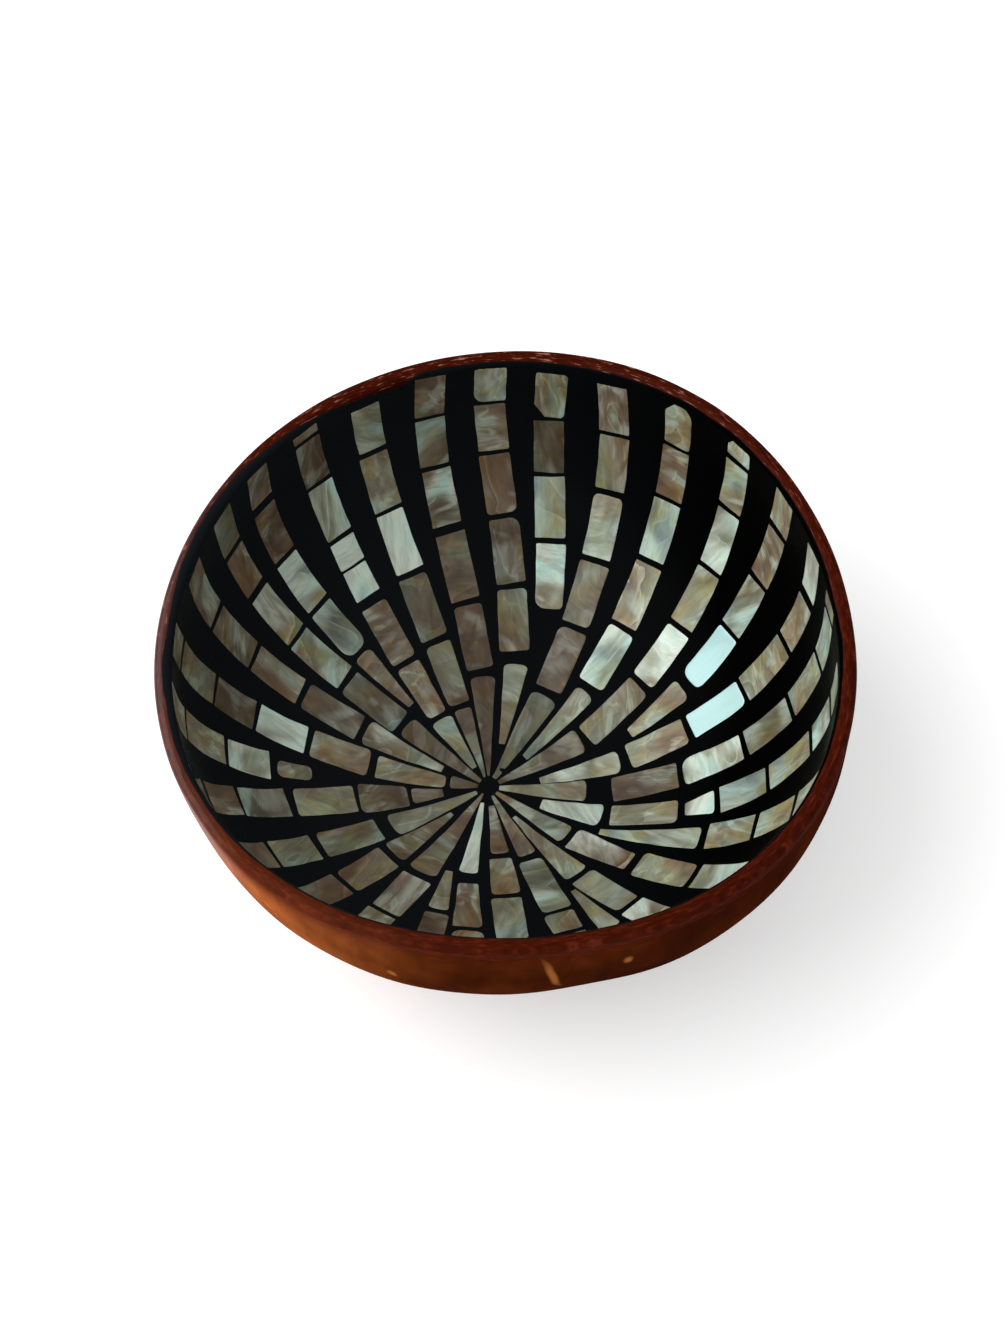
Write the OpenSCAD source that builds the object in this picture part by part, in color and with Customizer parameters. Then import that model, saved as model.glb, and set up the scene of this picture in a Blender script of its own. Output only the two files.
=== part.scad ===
// Coconut shell bowl: half a sanded shell, lined with black lacquer in which
// rows of mother-of-pearl tiles are set flush, from the rim down to the centre.
// Millimetres, +Z up. The origin is the middle of the flat foot.

/* [Shell] */
// Outer diameter of the bowl at its rim
bowl_d = 135; // [125:1:145]
// Height from the flat foot to the top of the rim
bowl_h = 60; // [56:1:64]
// Height of the nearly upright band below the rim
band_h = 9; // [7:0.5:11]
// Outer radius of the curve from the band to the underside
side_r = 47; // [45:0.5:49]
// Outer radius of the underside, which is flatter than the side
under_r = 86; // [84:0.5:90]
// Thickness of the shell after sanding
shell_wall = 2.4; // [2:0.1:3.2]
// Radius that rounds both edges of the lip
lip_r = 1; // [0.6:0.1:1.1]

/* [Lacquer] */
// Thickness of the lacquer lining
lacquer_t = 0.9; // [0.8:0.05:1.2]
// Depth from the top of the lip to the edge of the lacquer
lacquer_drop = 1.1; // [0.8:0.1:2]
// Bond line between the lacquer and the shell
bond_gap = 0.05; // [0.02:0.01:0.1]

/* [Mother of pearl] */
// Width of a cut strip of shell
tile_w = 6.4; // [5.8:0.1:6.6]
// Thickness of a tile
tile_t = 0.5; // [0.4:0.05:0.6]
// Glue line under and around each tile
glue_gap = 0.05; // [0.03:0.01:0.08]

/* [Hidden] */
$fn = 96;
over = 4;

// The three arcs of the profile share these centres, whatever the depth below the outside.
bowl_r = bowl_d / 2;
side_x = bowl_r - side_r;
side_z = bowl_h - band_h;
under_z = side_z + sqrt(pow(under_r - side_r, 2) - pow(side_x, 2));
turn = atan2(side_x, under_z - side_z);

// The pearl is flush with the face that the hand touches.
face_in = shell_wall + bond_gap + lacquer_t;
pocket_in = face_in - tile_t - glue_gap;

// Lengths along the face, from the centre of the bowl out to the rim
under_len = (under_r - face_in) * turn * PI / 180;
side_len = (side_r - face_in) * (90 - turn) * PI / 180;
face_len = under_len + side_len + band_h;

// Rows of tiles, counted from the left of the bowl's front. Each row has the direction it
// takes at the rim, halfway and near the centre, in degrees, and then its tiles from the rim
// inwards: the outer and inner end of a tile as shares of the face's length from the centre,
// and, where a tile isn't a full strip wide, its widths there as shares of the strip's width.
row_shares = [
    [[206.5, 195.2, 193.5], [[0.98, 0.79], [0.775, 0.65], [0.64, 0.505], [0.485, 0.335],
        [0.325, 0.205, 1.1, 0.75], [0.195, 0.115, 0.6, 0.28]]],
    [[190, 185.7, 185.5], [[0.98, 0.845], [0.833, 0.672], [0.66, 0.54], [0.52, 0.435, 0.6, 0.5]]],
    [[179, 175.2, 178.5], [[0.98, 0.9], [0.885, 0.725], [0.715, 0.592], [0.58, 0.455],
        [0.44, 0.298], [0.28, 0.108, 0.9, 0.45], [0.095, 0.022, 0.5, 0.13]]],
    [[164.9, 162.7, 164.8], [[0.97, 0.797], [0.783, 0.644], [0.633, 0.5], [0.485, 0.34],
        [0.325, 0.12, 0.95, 0.25]]],
    [[152.4, 150.9, 151], [[0.98, 0.86], [0.845, 0.727], [0.708, 0.574], [0.563, 0.425],
        [0.41, 0.262], [0.247, 0.022, 0.85, 0.16]]],
    [[141, 140.9, 139.6], [[0.98, 0.883], [0.858, 0.72], [0.708, 0.578], [0.566, 0.437],
        [0.425, 0.265, 0.8, 0.25]]],
    [[128.6, 128.4, 131.5], [[0.98, 0.955], [0.943, 0.812], [0.801, 0.665], [0.653, 0.589],
        [0.583, 0.512], [0.488, 0.35], [0.337, 0.207, 0.92, 0.72], [0.195, 0.055, 0.85, 0.18]]],
    [[115.3, 115, 115], [[0.952, 0.815], [0.8, 0.66], [0.65, 0.511], [0.497, 0.355],
        [0.34, 0.2, 0.9, 0.75], [0.187, 0.024, 0.65, 0.07]]],
    [[102, 102.2, 98.4], [[0.98, 0.855], [0.845, 0.72], [0.708, 0.578], [0.557, 0.41],
        [0.397, 0.258, 0.95, 0.9], [0.24, 0.024, 0.85, 0.07]]],
    [[91, 88.3, 81], [[0.98, 0.869], [0.859, 0.733], [0.722, 0.585], [0.572, 0.433],
        [0.42, 0.29], [0.262, 0.095, 0.8, 0.2]]],
    [[79.6, 77.1, 68], [[0.963, 0.822], [0.811, 0.68], [0.67, 0.535], [0.522, 0.387, 1, 0.93]]],
    [[69.2, 65.2, 62], [[0.955, 0.813], [0.802, 0.67], [0.655, 0.519], [0.505, 0.373],
        [0.36, 0.23], [0.213, 0.022, 1, 0.17]]],
    [[55.5, 51, 44], [[0.975, 0.847], [0.837, 0.712], [0.702, 0.57], [0.556, 0.423],
        [0.411, 0.285], [0.267, 0.09, 0.75, 0.25]]],
    [[41, 35.2, 25], [[0.98, 0.933], [0.917, 0.79], [0.778, 0.643], [0.632, 0.507],
        [0.494, 0.37], [0.356, 0.213], [0.198, 0.022, 1, 0.16]]],
    [[27, 22.3, 11], [[0.98, 0.872], [0.855, 0.724], [0.712, 0.592], [0.582, 0.456],
        [0.433, 0.295, 0.9, 0.4]]],
    [[15.2, 8.6, 2.5], [[0.975, 0.852], [0.828, 0.713], [0.7, 0.564], [0.553, 0.422],
        [0.408, 0.28], [0.259, 0.098, 0.9, 0.25]]],
    [[5, -5.2, -13], [[0.98, 0.945], [0.933, 0.816], [0.805, 0.683], [0.67, 0.544],
        [0.53, 0.393], [0.381, 0.243, 0.95, 0.92], [0.19, 0.022, 0.8, 0.18]]],
    [[351.5, 341.7, 331], [[0.96, 0.87], [0.855, 0.757], [0.743, 0.611], [0.6, 0.487],
        [0.474, 0.41, 0.9, 0.45], [0.394, 0.255, 0.85, 0.78], [0.237, 0.11, 0.88, 0.38]]],
    [[336, 330.7, 321.5], [[0.98, 0.875], [0.862, 0.735], [0.722, 0.61], [0.598, 0.485],
        [0.468, 0.25, 0.85, 0.22]]],
    [[324, 317.8, 312.5], [[0.975, 0.9], [0.885, 0.77], [0.757, 0.668], [0.655, 0.522],
        [0.508, 0.376], [0.357, 0.215, 0.7, 0.88], [0.2, 0.022, 0.75, 0.13]]],
    [[309, 303.2, 297.5], [[0.98, 0.86], [0.848, 0.71], [0.698, 0.58], [0.567, 0.463],
        [0.45, 0.313, 0.9, 0.9], [0.3, 0.095, 0.85, 0.14]]],
    [[297.5, 294.3, 292], [[0.97, 0.84], [0.828, 0.7], [0.688, 0.603], [0.592, 0.507],
        [0.494, 0.34, 0.72, 0.18]]],
    [[286, 284.4, 284.5], [[0.98, 0.87], [0.857, 0.732], [0.72, 0.6], [0.589, 0.472],
        [0.459, 0.393], [0.383, 0.22, 0.95, 0.77], [0.203, 0.024, 0.62, 0.1]]],
    [[272, 269.6, 268.5], [[0.96, 0.83], [0.819, 0.69], [0.679, 0.573], [0.562, 0.479],
        [0.467, 0.326], [0.313, 0.205, 0.95, 0.75], [0.19, 0.052, 0.62, 0.18]]],
    [[259.5, 258.5, 250.5], [[0.98, 0.91], [0.895, 0.77], [0.757, 0.64], [0.629, 0.535],
        [0.524, 0.447], [0.434, 0.293, 0.95, 0.65], [0.262, 0.048, 0.62, 0.13]]],
    [[247.5, 248.7, 241.5], [[0.97, 0.85], [0.838, 0.71], [0.698, 0.602], [0.59, 0.513],
        [0.5, 0.412, 0.9, 0.8], [0.398, 0.272, 0.68, 0.25]]],
    [[236, 235, 233.3], [[0.98, 0.87], [0.858, 0.74], [0.728, 0.632], [0.62, 0.551],
        [0.54, 0.485], [0.472, 0.332], [0.315, 0.026, 0.95, 0.07]]],
    [[225, 222, 219.8], [[0.98, 0.88], [0.868, 0.75], [0.738, 0.632], [0.618, 0.487],
        [0.473, 0.335], [0.318, 0.124, 0.92, 0.15]]],
    [[216, 209.2, 208.5], [[0.98, 0.86], [0.848, 0.745], [0.733, 0.615], [0.603, 0.48],
        [0.463, 0.307, 1, 0.85], [0.275, 0.034, 0.88, 0.14]]]];

// The rows' directions were taken where the strip starts, at the lip, at half the
// face's length and at a fifth of it.
rim_share = 1;
half_share = 0.5;
foot_share = 0.2;

// The strips meet a little off the middle of the bowl, by these shares of its radius, and
// a place further out is drawn the same way by the share that is left, to this power.
meet_shares = [-0.078, -0.045];
meet_power = 3.5;

// A hand-cut strip varies by up to this share of its width.
cut_share = 0.05;

// Direction of a row at a share of the face's length: one smooth curve through three points,
// which runs straight to the centre from the last of them
function row_turn(dirs, s) = s < foot_share ? dirs[2] :
    dirs[0] * (s - half_share) * (s - foot_share) / ((rim_share - half_share) * (rim_share - foot_share))
    + dirs[1] * (s - rim_share) * (s - foot_share) / ((half_share - rim_share) * (half_share - foot_share))
    + dirs[2] * (s - rim_share) * (s - half_share) / ((foot_share - rim_share) * (foot_share - half_share));

// Angle of the face's slope at a length d from the centre: 0 is level and 90 upright
function slope(d) =
    d < under_len ? d / under_len * turn
    : d < under_len + side_len ? turn + (d - under_len) / side_len * (90 - turn)
    : 90;

// Radius and height of the face at a length d from the centre
function face_x(d) =
    d < under_len ? (under_r - face_in) * sin(slope(d))
    : side_x + (side_r - face_in) * sin(slope(d));
function face_z(d) =
    d < under_len ? under_z - (under_r - face_in) * cos(slope(d))
    : side_z - (side_r - face_in) * cos(slope(d)) + max(0, d - under_len - side_len);

// Half section of everything inside a surface that lies inset below the outside
module half_section(inset) {
    intersection() {
        square([bowl_r - inset, bowl_h + over]);
        union() {
            translate([0, side_z]) square([bowl_r - inset, band_h + over]);
            // The side's arc, which lies inside the underside's beyond the place where they meet
            intersection() {
                translate([side_x, side_z]) circle(side_r - inset);
                square([bowl_r, side_z + over]);
            }
            intersection() {
                translate([0, under_z]) circle(under_r - inset);
                polygon([[0, 0], [side_x + side_z * tan(turn), 0], [side_x, side_z], [0, side_z]]);
            }
        }
    }
}

// The wall between two depths below the outside
module wall_between(outer, inner) {
    rotate_extrude() difference() {
        half_section(outer);
        half_section(inner);
    }
}

// A place on a row, on the face unrolled flat about the bowl's middle
function unrolled(dirs, s) =
    s * face_len * [cos(row_turn(dirs, s)), sin(row_turn(dirs, s))]
    + pow(1 - s, meet_power) * bowl_r * meet_shares;

// A tile's true length and sideways lean, as seen from its middle, where the unrolled face
// is wider than the real one by the ratio d / face_x(d)
function tile_run(dirs, tile) =
    let (middle = unrolled(dirs, (tile[0] + tile[1]) / 2),
        run = unrolled(dirs, tile[0]) - unrolled(dirs, tile[1]),
        d = norm(middle))
    [run * middle / d, (middle[0] * run[1] - middle[1] * run[0]) / d * face_x(d) / d];

// Places its children on the face, with X outwards along the row and Z into the bowl
module on_face(dirs, tile) {
    middle = unrolled(dirs, (tile[0] + tile[1]) / 2);
    d = norm(middle);
    run = tile_run(dirs, tile);
    rotate([0, 0, atan2(middle[1], middle[0])])
        translate([face_x(d), 0, face_z(d)])
            rotate([0, -slope(d), 0])
                rotate([0, 0, atan2(run[1], run[0])])
                    children();
}

// One tile's outline: a strip's width at full size, or the widths that the table gives
module tile_outline(dirs, tile, seed, grow) {
    half_len = norm(tile_run(dirs, tile)) / 2 + grow;
    cut = rands(-cut_share, cut_share, 4, seed);
    outer_w = tile_w * (len(tile) > 2 ? tile[2] : 1) / 2;
    inner_w = tile_w * (len(tile) > 2 ? tile[3] : 1) / 2;
    polygon([[half_len, -outer_w * (1 + cut[0]) - grow], [half_len, outer_w * (1 + cut[1]) + grow],
        [-half_len, inner_w * (1 + cut[2]) + grow], [-half_len, -inner_w * (1 + cut[3]) - grow]]);
}

// The upright blocks that cut one row's tiles, or their pockets, out of the wall
module row_blocks(k, grow) {
    row = row_shares[k];
    for (j = [0 : len(row[1]) - 1])
        on_face(row[0], row[1][j])
            translate([0, 0, -over / 2])
                linear_extrude(over)
                    tile_outline(row[0], row[1][j], k * len(row_shares) + j, grow);
}

module shell() {
    color("saddlebrown")
        rotate_extrude() difference() {
            half_section(0);
            half_section(shell_wall);
            translate([0, bowl_h]) square([bowl_d, over * 2]);
            // Rounded lip, outside and inside
            difference() {
                translate([bowl_r - lip_r, bowl_h - lip_r]) square(lip_r * 2);
                translate([bowl_r - lip_r, bowl_h - lip_r]) circle(lip_r);
            }
            difference() {
                translate([bowl_r - shell_wall - lip_r, bowl_h - lip_r]) square([lip_r * 2, lip_r * 2]);
                translate([bowl_r - shell_wall + lip_r, bowl_h - lip_r]) circle(lip_r);
            }
        }
}

module lacquer_lining() {
    color("black")
        difference() {
            wall_between(shell_wall + bond_gap, face_in);
            translate([0, 0, bowl_h - lacquer_drop]) cylinder(r = bowl_d, h = bowl_h);
            intersection() {
                wall_between(pocket_in, face_in + over);
                for (k = [0 : len(row_shares) - 1]) row_blocks(k, glue_gap);
            }
        }
}

module pearl_row(k) {
    color("darkkhaki")
        intersection() {
            wall_between(face_in - tile_t, face_in);
            row_blocks(k, 0);
        }
}

shell();
lacquer_lining();
for (k = [0 : len(row_shares) - 1])
    pearl_row(k);
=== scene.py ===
"""Coconut shell bowl, lined with black lacquer and rows of mother-of-pearl tiles.

Laid out as an add-on: settings, one operator for each piece or group of like pieces,
a panel that lists them, and a main function that calls them in order.
"""

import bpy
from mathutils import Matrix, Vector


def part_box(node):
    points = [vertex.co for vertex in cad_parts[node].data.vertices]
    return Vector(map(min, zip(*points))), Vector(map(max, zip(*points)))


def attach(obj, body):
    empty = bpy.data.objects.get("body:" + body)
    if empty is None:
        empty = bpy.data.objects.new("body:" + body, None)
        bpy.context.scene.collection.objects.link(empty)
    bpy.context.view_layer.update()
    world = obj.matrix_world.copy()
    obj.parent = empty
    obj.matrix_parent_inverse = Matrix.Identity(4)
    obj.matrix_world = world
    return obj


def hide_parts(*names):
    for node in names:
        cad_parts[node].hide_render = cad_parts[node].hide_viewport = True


bl_info = {
    "name": "Inlaid coconut bowl",
    "version": (1, 0, 0),
    "blender": (4, 5, 0),
    "location": "View3D > Sidebar > Bowl",
    "description": "Builds a lacquered coconut shell bowl inlaid with mother of pearl",
    "category": "Object",
}

import math
import random

import bmesh
import bpy
import numpy as np
from bpy.props import FloatProperty, FloatVectorProperty, IntProperty, PointerProperty
from mathutils import Matrix, Vector, noise

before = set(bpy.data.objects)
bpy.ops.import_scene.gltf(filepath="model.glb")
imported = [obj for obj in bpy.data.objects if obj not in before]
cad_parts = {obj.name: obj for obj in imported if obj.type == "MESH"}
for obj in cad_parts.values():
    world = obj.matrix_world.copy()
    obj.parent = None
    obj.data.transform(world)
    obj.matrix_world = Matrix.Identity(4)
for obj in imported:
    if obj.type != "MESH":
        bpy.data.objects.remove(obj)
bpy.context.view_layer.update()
SHELL_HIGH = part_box("shell")[1]

MM = 0.001
BODY = "root"
ROW_NODES = sorted(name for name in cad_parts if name.startswith("pearl_row_"))

# The bowl's outside: its radius and height come from the frame, and its arcs are those
# that the solids were drawn with.
BOWL_R = SHELL_HIGH.x
BOWL_H = SHELL_HIGH.z
BAND_H = 9.0 * MM
SIDE_R = 47.0 * MM
UNDER_R = 86.0 * MM
SHELL_WALL = 2.4 * MM
FACE_IN = 3.35 * MM
TILE_T = 0.5 * MM

# Hidden below the lip, the shell's inner wall ends this far down, and the lacquer lies this far
# off the wall.
HIDDEN_TOP = 5.0 * MM
GLUE_GAP = 0.05 * MM

# Points nearer than this are one, and a solid's points this near the face are on it.
SAME_POINT = 0.002 * MM
TOP_REACH = 0.1 * MM

# How finely the section's arcs, its upright band and its lip are cut.
UNDER_STEPS = 22
SIDE_STEPS = 34
BAND_STEPS = 6
LIP_STEPS = 40

# Faces that meet at less than this angle are shaded as one.
SMOOTH_ANGLE = math.radians(40)

SIDE_X = BOWL_R - SIDE_R
SIDE_Z = BOWL_H - BAND_H
UNDER_Z = SIDE_Z + math.sqrt((UNDER_R - SIDE_R) ** 2 - SIDE_X ** 2)
TURN = math.atan2(SIDE_X, UNDER_Z - SIDE_Z)
UNDER_LEN = (UNDER_R - FACE_IN) * TURN
SIDE_LEN = (SIDE_R - FACE_IN) * (math.pi / 2 - TURN)
FACE_LEN = UNDER_LEN + SIDE_LEN + BAND_H
FACE_R = BOWL_R - FACE_IN

# The rows meet off the bowl's middle, by these shares of its radius.
MEET_SHARES = (-0.078, -0.045)

# A shell is never quite round: these shares of its radius make it a little fuller, most at the
# back right, and oval and three-sided, and its lip rises and falls by these lengths.
FULLER_SHARES = (0.0045, 0.006)
FULLEST_WAY = math.radians(75)
OVAL_SHARES = (-0.0149, 0.003)
THREE_SIDED_SHARES = (-0.0077, -0.0164)
LIP_WAVE_TWO = (-0.18 * MM, -0.5 * MM)
LIP_WAVE_THREE = (-0.25 * MM, 1.73 * MM)


def srgb(code):
    """A colour written as sRGB hex, as linear red, green and blue with full cover."""
    parts = [int(code[k:k + 2], 16) / 255 for k in (1, 3, 5)]
    return tuple(p / 12.92 if p <= 0.04045 else ((p + 0.055) / 1.055) ** 2.4 for p in parts) + (1.0,)


class BowlShapeSettings(bpy.types.PropertyGroup):
    """Sizes of the shell and its lacquer."""

    steps: IntProperty(name="Steps", description="Steps of the bowl's turn", default=240, min=48)
    lip_round: FloatProperty(
        name="Lip rounding", description="Radius of the lip's edges", default=1.5 * MM, unit="LENGTH")
    lacquer_edge: FloatProperty(
        name="Lacquer edge", description="How far the lacquer's edge lies in from the outside",
        default=2.75 * MM, unit="LENGTH")
    edge_wander: FloatProperty(
        name="Edge wander", description="How far the brushed edge of the lacquer strays",
        default=0.35 * MM, unit="LENGTH")
    bare_patch: FloatProperty(
        name="Bare patch", description="How far the lacquer stops short at the back left",
        default=2.7 * MM, unit="LENGTH")
    dents: FloatProperty(
        name="Dents", description="Depth of the soft dents that sanding leaves", default=0.16 * MM,
        unit="LENGTH")


class PearlSettings(bpy.types.PropertyGroup):
    """Sizes of the tiles' cut edges."""

    corner: FloatProperty(
        name="Corner", description="Usual rounding of a tile's corners", default=0.35 * MM, unit="LENGTH")
    edge: FloatProperty(
        name="Edge", description="Rounding of a tile's polished edge", default=0.07 * MM, unit="LENGTH")
    stray: FloatProperty(
        name="Stray", description="How far a hand-cut edge strays", default=0.16 * MM, unit="LENGTH")
    proud: FloatProperty(
        name="Proud", description="How far a tile stands proud of the lacquer", default=0.03 * MM,
        unit="LENGTH")
    seed: IntProperty(name="Seed", description="Seed of the tiles' tones and cuts", default=11)


class FinishSettings(bpy.types.PropertyGroup):
    """Colours of the finishes and the floor."""

    marks: FloatVectorProperty(
        name="Pale marks", description="The marks that the husk's fibres leave in the shell",
        default=srgb("#b06c34"), size=4, min=0, max=1, subtype="COLOR")
    flecks: FloatVectorProperty(
        name="Lip flecks", description="The fine flecks round the shell's lip",
        default=srgb("#ad7a62"), size=4, min=0, max=1, subtype="COLOR")
    lacquer: FloatVectorProperty(
        name="Lacquer", description="The lacquer's full black",
        default=srgb("#020202"), size=4, min=0, max=1, subtype="COLOR")
    # Painted reflection: a grey laid on the lacquer towards the left
    lacquer_painted_sheen: FloatVectorProperty(
        name="Thin lacquer", description="The lacquer where it is thinner",
        default=srgb("#14171a"), size=4, min=0, max=1, subtype="COLOR")
    # The colour of the painted highlight where the pearl gleams most
    gleam: FloatVectorProperty(
        name="Gleam", description="The pearl where it gleams most",
        default=srgb("#c2eef0"), size=4, min=0, max=1, subtype="COLOR")
    floor: FloatVectorProperty(
        name="Floor", description="The floor under the bowl",
        default=srgb("#f4f4f4"), size=4, min=0, max=1, subtype="COLOR")


# Working with Blender's own tools

def deselect_all():
    """Leaves edit mode, and deselects every object."""
    if bpy.context.object and bpy.context.object.mode != "OBJECT":
        bpy.ops.object.mode_set(mode="OBJECT")
    bpy.ops.object.select_all(action="DESELECT")


def only(obj):
    """Makes obj the one selected and active object."""
    deselect_all()
    obj.select_set(True)
    bpy.context.view_layer.objects.active = obj


def modify(obj, kind, **settings):
    """Adds a modifier with its settings, and applies it."""
    only(obj)
    modifier = obj.modifiers.new(kind.title(), kind)
    for name, value in settings.items():
        setattr(modifier, name, value)
    bpy.ops.object.modifier_apply(modifier=modifier.name)


def read_points(mesh):
    """A mesh's points, as an array of places."""
    points = np.zeros(len(mesh.vertices) * 3)
    mesh.vertices.foreach_get("co", points)
    return points.reshape(-1, 3)


def write_points(mesh, points):
    """Moves a mesh's points to an array of places."""
    mesh.vertices.foreach_set("co", np.asarray(points, np.float32).ravel())
    mesh.update()


def settle(obj, slot, material, *nodes):
    """Gives a finished piece its material and smooth shading, and ties it to the frame."""
    obj.data.materials.clear()
    obj.data.materials.append(material)
    only(obj)
    bpy.ops.object.shade_smooth_by_angle(angle=SMOOTH_ANGLE)
    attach(obj, BODY)
    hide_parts(*nodes)


# The bowl's form

def hand_shaped(points):
    """Points of the true round form, moved to where the uneven shell has them."""
    x, y, z = points[:, 0], points[:, 1], points[:, 2]
    way = np.arctan2(y, x)
    wide = (1 + FULLER_SHARES[0] + FULLER_SHARES[1] * np.maximum(0, np.cos(way - FULLEST_WAY))
            + OVAL_SHARES[0] * np.cos(2 * way) + OVAL_SHARES[1] * np.sin(2 * way)
            + THREE_SIDED_SHARES[0] * np.cos(3 * way) + THREE_SIDED_SHARES[1] * np.sin(3 * way))
    rise = (LIP_WAVE_TWO[0] * np.cos(2 * way) + LIP_WAVE_TWO[1] * np.sin(2 * way)
            + LIP_WAVE_THREE[0] * np.cos(3 * way) + LIP_WAVE_THREE[1] * np.sin(3 * way))
    return np.stack([x * wide, y * wide, z * (1 + rise / BOWL_H)], axis=-1)


# Where sanding left the outside hollower, or fuller if below zero: the direction and its spread
# in degrees, the height and its spread, and the depth
WALL_HOLLOWS = (
    (-148, 15, 44 * MM, 13 * MM, 1.0 * MM), (-79, 10, 34 * MM, 14 * MM, 0.85 * MM),
    (-107, 9, 34 * MM, 12 * MM, -0.3 * MM), (-38, 20, 42 * MM, 14 * MM, -0.35 * MM))


def swell(degrees, middle, spread):
    """1 at a direction round the bowl, falling softly to 0 beyond its spread, all in degrees."""
    away = (degrees - middle + 180) % 360 - 180
    return np.exp(-(away / spread) ** 2)


def hollowed(points, way, depth):
    """Points of the outside, moved in or out where the shell is hollower or fuller."""
    push = np.zeros(len(points))
    for middle, spread, height, rise, deep in WALL_HOLLOWS:
        level = np.exp(-((points[:, 2] - height) / rise) ** 2)
        push += deep * swell(np.degrees(way), middle, spread) * level
    push[depth > SHELL_WALL / 2] = 0
    share = 1 - push / np.maximum(np.hypot(points[:, 0], points[:, 1]), MM)
    return points * np.stack([share, share, np.ones(len(points))], axis=-1)


def arc(centre, radius, start, end, count):
    """Points on an arc whose angle is counted from straight down, outwards."""
    angles = np.linspace(start, end, count)
    return [(centre[0] + radius * math.sin(a), centre[1] - radius * math.cos(a)) for a in angles]


def wall_outline(inset, top):
    """The section of the surface that lies inset below the outside, from the middle up to top."""
    low = UNDER_Z - (UNDER_R - inset)
    start = 0.0
    points = []
    if low < 0:
        start = math.acos(UNDER_Z / (UNDER_R - inset))
        points += [(0.0, 0.0), (0.5 * (UNDER_R - inset) * math.sin(start), 0.0)]
    points += arc((0, UNDER_Z), UNDER_R - inset, start, TURN, UNDER_STEPS)
    points += arc((SIDE_X, SIDE_Z), SIDE_R - inset, TURN, math.pi / 2, SIDE_STEPS)[1:]
    rises = [(top - SIDE_Z) * k / BAND_STEPS for k in range(1, BAND_STEPS + 1)]
    return points + [(BOWL_R - inset, SIDE_Z + rise) for rise in rises]


def on_face(way, run, depth=FACE_IN):
    """Points of the round form at a length run along the face, and a depth below the outside."""
    under = np.minimum(run, UNDER_LEN) / (UNDER_R - FACE_IN)
    side = TURN + np.clip(run - UNDER_LEN, 0, SIDE_LEN) / (SIDE_R - FACE_IN)
    is_under = run < UNDER_LEN
    radius = np.where(is_under, (UNDER_R - depth) * np.sin(under), SIDE_X + (SIDE_R - depth) * np.sin(side))
    height = np.where(is_under, UNDER_Z - (UNDER_R - depth) * np.cos(under),
                      SIDE_Z - (SIDE_R - depth) * np.cos(side) + np.maximum(0, run - UNDER_LEN - SIDE_LEN))
    return np.stack([radius * np.cos(way), radius * np.sin(way), height], axis=-1)


def face_place(points):
    """The way round, the length along the face and the depth below the outside of points."""
    radius = np.hypot(points[:, 0], points[:, 1])
    height = points[:, 2]
    angle = np.arctan2(radius - SIDE_X, SIDE_Z - height)
    from_under = np.arctan2(radius, UNDER_Z - height)
    band = height >= SIDE_Z
    under = (angle < TURN) & ~band
    run = np.where(band, UNDER_LEN + SIDE_LEN + height - SIDE_Z,
                   np.where(under, from_under * (UNDER_R - FACE_IN),
                            UNDER_LEN + (angle - TURN) * (SIDE_R - FACE_IN)))
    depth = np.where(band, BOWL_R - radius,
                     np.where(under, UNDER_R - np.hypot(radius, UNDER_Z - height),
                              SIDE_R - np.hypot(radius - SIDE_X, SIDE_Z - height)))
    return np.arctan2(points[:, 1], points[:, 0]), run, depth


def spun(name, outline, steps):
    """A closed outline of radii and heights, spun once round the bowl's axis."""
    mesh = bpy.data.meshes.new(name)
    edges = [(k, k + 1) for k in range(len(outline) - 1)]
    mesh.from_pydata([(r, 0, z) for r, z in outline], edges, [])
    obj = bpy.data.objects.new(name, mesh)
    bpy.context.scene.collection.objects.link(obj)
    only(obj)
    bpy.ops.object.mode_set(mode="EDIT")
    bpy.ops.mesh.select_all(action="SELECT")
    bpy.ops.mesh.spin(steps=steps, angle=math.tau, center=(0, 0, 0), axis=(0, 0, 1))
    bpy.ops.mesh.select_all(action="SELECT")
    bpy.ops.mesh.remove_doubles(threshold=SAME_POINT)
    bpy.ops.mesh.normals_make_consistent(inside=False)
    bpy.ops.object.mode_set(mode="OBJECT")
    return obj


def lip_path(settings, along):
    """Section of the lip, from its outer edge over the top and down its inside: radius and height
    at a length along."""
    rounding = settings.lip_round
    quarter = rounding * math.pi / 2
    flat = FACE_IN - 2 * rounding
    if along < quarter:
        a = along / rounding
        return BOWL_R - rounding + rounding * math.cos(a), BOWL_H - rounding + rounding * math.sin(a)
    if along < quarter + flat:
        return BOWL_R - rounding - (along - quarter), BOWL_H
    if along < 2 * quarter + flat:
        a = (along - quarter - flat) / rounding
        return FACE_R + rounding - rounding * math.sin(a), BOWL_H - rounding + rounding * math.cos(a)
    return FACE_R, BOWL_H - rounding - (along - 2 * quarter - flat)


# The lacquer on the lip thickens to its full coat over this length below the lip's rounding
LACQUER_FADE = 3.0 * MM


def lip_path_length(settings):
    """Length of the lip's section down to where the full lacquer begins."""
    return settings.lip_round * math.pi + FACE_IN - 2 * settings.lip_round + LACQUER_FADE


def lacquer_start(settings):
    """Length along the lip's section at which the lacquer's edge lies."""
    return settings.lip_round * (math.pi / 2 - 1) + settings.lacquer_edge


# Dents are this wide, and this shift sets where they lie
DENT_SIZE = 14 * MM
DENT_SHIFT = Vector((3, 0, 0))


def soft_dents(points, depth):
    """Small pushes in and out along the radius, as a hand-sanded surface has."""
    out = points.copy()
    for k, p in enumerate(points):
        v = Vector(p)
        push = depth * noise.noise(v / DENT_SIZE + DENT_SHIFT)
        n = Vector((v.x, v.y, min(v.z - SIDE_Z, 0.0)))
        if n.length > SAME_POINT / 2:
            out[k] = v + n.normalized() * push
    return out


# Finishes

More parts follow.
